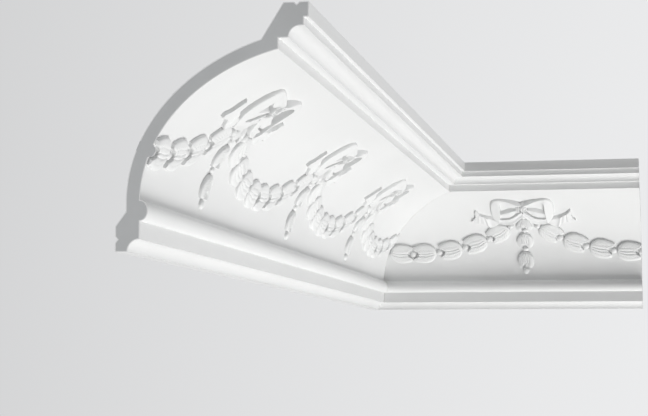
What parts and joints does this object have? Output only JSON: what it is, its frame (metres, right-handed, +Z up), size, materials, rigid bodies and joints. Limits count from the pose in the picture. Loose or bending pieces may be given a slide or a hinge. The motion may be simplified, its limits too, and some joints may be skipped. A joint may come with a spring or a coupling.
{
  "type": "cornice moulding section",
  "caption": "Coved cornice with bows, swags and pendants in relief, in two lengths mitred at an inner corner, to be glued to walls and ceiling.",
  "frame": {"origin": "on the ceiling face of the long left length, halfway along it, between the face's inner edge and the glue groove", "axes": "+Y along the long length towards the corner, +Z up to the ceiling, +X out of the left wall and along the short length"},
  "size_m": [0.4, 1.16, 0.2],
  "materials": {
    "primed_white": "smooth factory primer with a low sheen over rigid foam"
  },
  "bodies": {
    "root": {"left_length": "primed_white", "right_length": "primed_white"}
  },
  "joints": []
}
